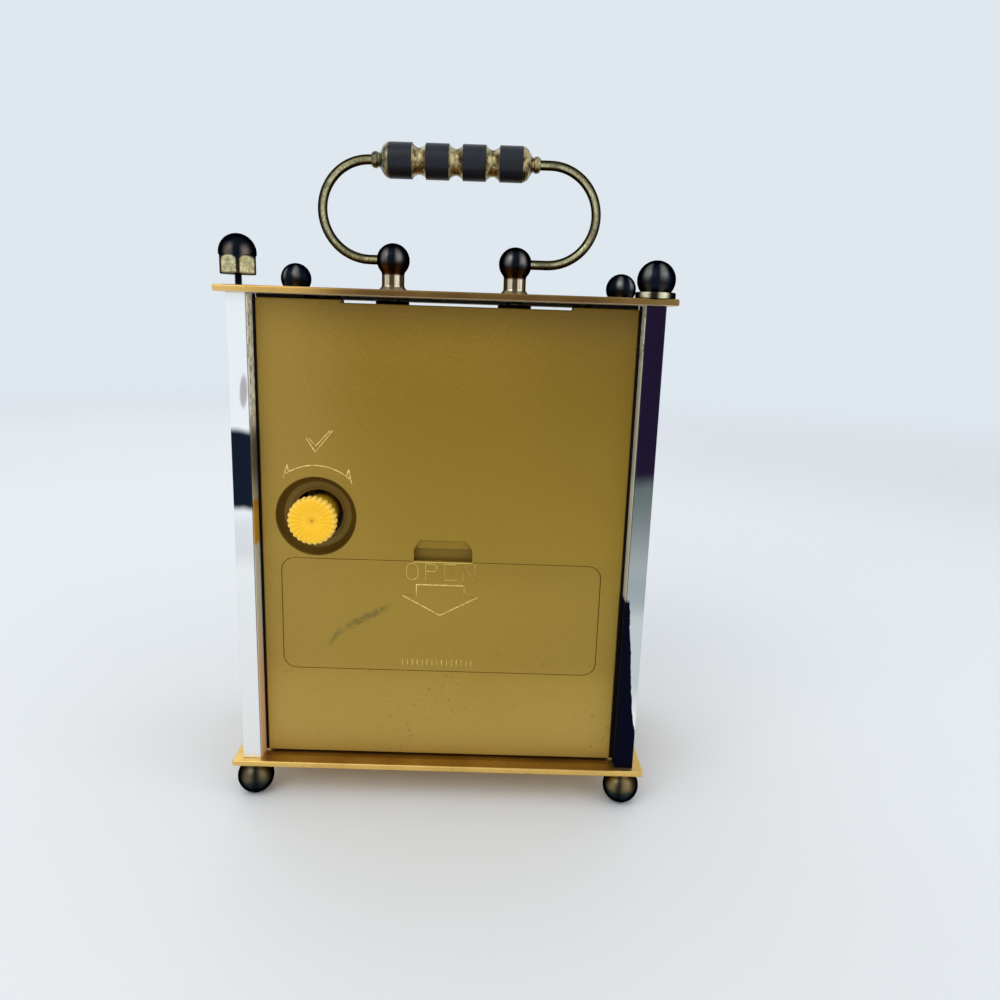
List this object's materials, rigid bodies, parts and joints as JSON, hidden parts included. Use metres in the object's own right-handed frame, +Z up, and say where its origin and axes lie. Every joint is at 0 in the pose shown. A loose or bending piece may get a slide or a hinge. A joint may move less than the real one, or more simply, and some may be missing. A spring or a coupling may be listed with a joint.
{
  "type": "desk clock",
  "caption": "Desk clock with a column frame on ball feet, a swinging wire handle, a gold plastic case, a battery cover and a fluted knob that sets the hands through gears",
  "frame": {"origin": "middle of the base plate in plan, on the floor that the feet stand on", "axes": "+Z up, the dial faces -Y, the battery cover faces +Y, +X is to the right of someone who looks at the dial"},
  "size_m": [0.096, 0.058, 0.1509],
  "materials": {
    "brass_plate": "bright lacquered brass, browned at the edges",
    "gilt_column": "mirror plating, worn through at the foot of a column",
    "bronzed_brass": "dark bronzed brass, polished",
    "antique_wire": "drawn antique brass wire",
    "grip_gilt": "turned brass with black lacquered bands",
    "gold_paint": "metallic gold paint on moulded plastic",
    "knob_yellow": "yellow moulded plastic",
    "dial_white": "satin white with black print",
    "dial_gilt": "satin gilt sheet",
    "clear_glass": "clear",
    "black_steel": "black",
    "bright_steel": "bright",
    "movement_plastic": "natural white moulding",
    "gear_plastic": "ivory moulding",
    "gear_brass": "machined",
    "copper_winding": "enamelled copper wire",
    "board_green": "solder mask",
    "cell_jacket": "printed film on steel",
    "lead_red": "insulation",
    "lead_black": "insulation"
  },
  "bodies": {
    "frame": {"base_plate": "brass_plate", "top_plate": "brass_plate", "front_left_column": "gilt_column", "front_right_column": "gilt_column", "rear_left_column": "gilt_column", "rear_right_column": "gilt_column", "front_left_tie_rod": "black_steel", "front_right_tie_rod": "black_steel", "rear_left_tie_rod": "black_steel", "rear_right_tie_rod": "black_steel", "front_left_foot": "bronzed_brass", "front_right_foot": "bronzed_brass", "rear_left_foot": "bronzed_brass", "rear_right_foot": "bronzed_brass", "front_left_ball_nut": "bronzed_brass", "front_right_ball_nut": "bronzed_brass", "rear_left_ball_nut": "bronzed_brass", "left_handle_post": "bronzed_brass", "right_handle_post": "bronzed_brass", "left_post_nut": "black_steel", "right_post_nut": "black_steel", "case_front": "gold_paint", "case_rear": "gold_paint", "battery_tray": "gold_paint", "case_screw_left": "bright_steel", "case_screw_right": "bright_steel", "glass": "clear_glass", "dial_surround": "dial_gilt", "dial": "dial_white", "bush_nut": "gear_brass", "mounting_plate": "movement_plastic", "movement_rear_plate": "movement_plastic", "mount_screw_left": "bright_steel", "mount_screw_right": "bright_steel", "stator": "bright_steel", "coil": "copper_winding", "circuit_board": "board_green", "battery_cell": "cell_jacket", "negative_spring": "bright_steel", "positive_contact": "bright_steel", "negative_lead": "lead_black", "positive_lead": "lead_red"},
    "handle": {"handle_wire": "antique_wire"},
    "grip": {"handle_grip": "grip_gilt"},
    "cap_nut": {"rear_right_cap_nut": "gear_brass"},
    "cover": {"battery_cover": "gold_paint"},
    "knob": {"set_knob": "knob_yellow", "setting_stem": "bright_steel"},
    "setting_gear": {"setting_wheel": "gear_plastic"},
    "minute_gear": {"minute_wheel": "gear_plastic"},
    "minute_group": {"minute_arbor": "bright_steel", "minute_hand": "black_steel", "centre_nut": "gear_brass"},
    "hour_group": {"hour_wheel": "gear_plastic", "hour_hand": "black_steel"},
    "second_gear": {"second_wheel": "gear_plastic"},
    "third_gear": {"third_wheel": "gear_plastic"},
    "centre_gear": {"centre_wheel": "gear_brass"},
    "intermediate_gear": {"intermediate_wheel": "gear_plastic"},
    "rotor_group": {"rotor": "bright_steel"}
  },
  "joints": [
    {"name": "handle_swing", "type": "hinge", "parent": "frame", "child": "handle", "pos_m": [0, 0, 0.12466], "axis": [1, 0, 0], "range_deg": [-97, 97]},
    {"name": "grip_turn", "type": "hinge", "parent": "handle", "child": "grip", "pos_m": [0, 0, 0.1469], "axis": [1, 0, 0], "continuous": true},
    {"name": "cap_nut_travel", "type": "slide", "parent": "frame", "child": "cap_nut", "axis": [0, 0, 1], "range_m": [-0.0018, 0.0035]},
    {"name": "cover_tilt", "type": "hinge", "parent": "frame", "child": "cover", "pos_m": [0.00028, 0.0235, 0.03107], "axis": [-1, 0, 0], "range_deg": [0, 70]},
    {"name": "knob_turn", "type": "hinge", "parent": "frame", "child": "knob", "pos_m": [0.02855, 0, 0.06745], "axis": [0, 1, 0], "continuous": true},
    {"name": "setting_wheel_turn", "type": "hinge", "parent": "frame", "child": "setting_gear", "pos_m": [0.02384, 0, 0.07496], "axis": [0, 1, 0], "continuous": true},
    {"name": "minute_wheel_turn", "type": "hinge", "parent": "frame", "child": "minute_gear", "pos_m": [0.01181, 0, 0.06745], "axis": [0, 1, 0], "continuous": true},
    {"name": "minute_hand_turn", "type": "hinge", "parent": "frame", "child": "minute_group", "pos_m": [0, 0, 0.06745], "axis": [0, 1, 0], "continuous": true},
    {"name": "hour_hand_turn", "type": "hinge", "parent": "frame", "child": "hour_group", "pos_m": [0, 0, 0.06745], "axis": [0, 1, 0], "continuous": true},
    {"name": "second_wheel_turn", "type": "hinge", "parent": "frame", "child": "second_gear", "pos_m": [-0.01347, 0, 0.07193], "axis": [0, 1, 0], "continuous": true},
    {"name": "third_wheel_turn", "type": "hinge", "parent": "frame", "child": "third_gear", "pos_m": [-0.01151, 0, 0.0608], "axis": [0, 1, 0], "continuous": true},
    {"name": "centre_wheel_turn", "type": "hinge", "parent": "frame", "child": "centre_gear", "pos_m": [0, 0, 0.06745], "axis": [0, 1, 0], "continuous": true},
    {"name": "intermediate_wheel_turn", "type": "hinge", "parent": "frame", "child": "intermediate_gear", "pos_m": [-0.00796, 0, 0.08148], "axis": [0, 1, 0], "continuous": true},
    {"name": "rotor_turn", "type": "hinge", "parent": "frame", "child": "rotor_group", "pos_m": [0.0009, 0, 0.08148], "axis": [0, 1, 0], "continuous": true}
  ],
  "couplings": [
    {"joint": "setting_wheel_turn", "follows": "knob_turn", "ratio": -0.66667},
    {"joint": "minute_wheel_turn", "follows": "knob_turn", "ratio": 0.4},
    {"joint": "minute_hand_turn", "follows": "knob_turn", "ratio": -1.2},
    {"joint": "hour_hand_turn", "follows": "knob_turn", "ratio": -0.1},
    {"joint": "third_wheel_turn", "follows": "second_wheel_turn", "ratio": -0.13333},
    {"joint": "centre_wheel_turn", "follows": "second_wheel_turn", "ratio": 0.016667},
    {"joint": "intermediate_wheel_turn", "follows": "second_wheel_turn", "ratio": -6},
    {"joint": "rotor_turn", "follows": "second_wheel_turn", "ratio": 30}
  ]
}
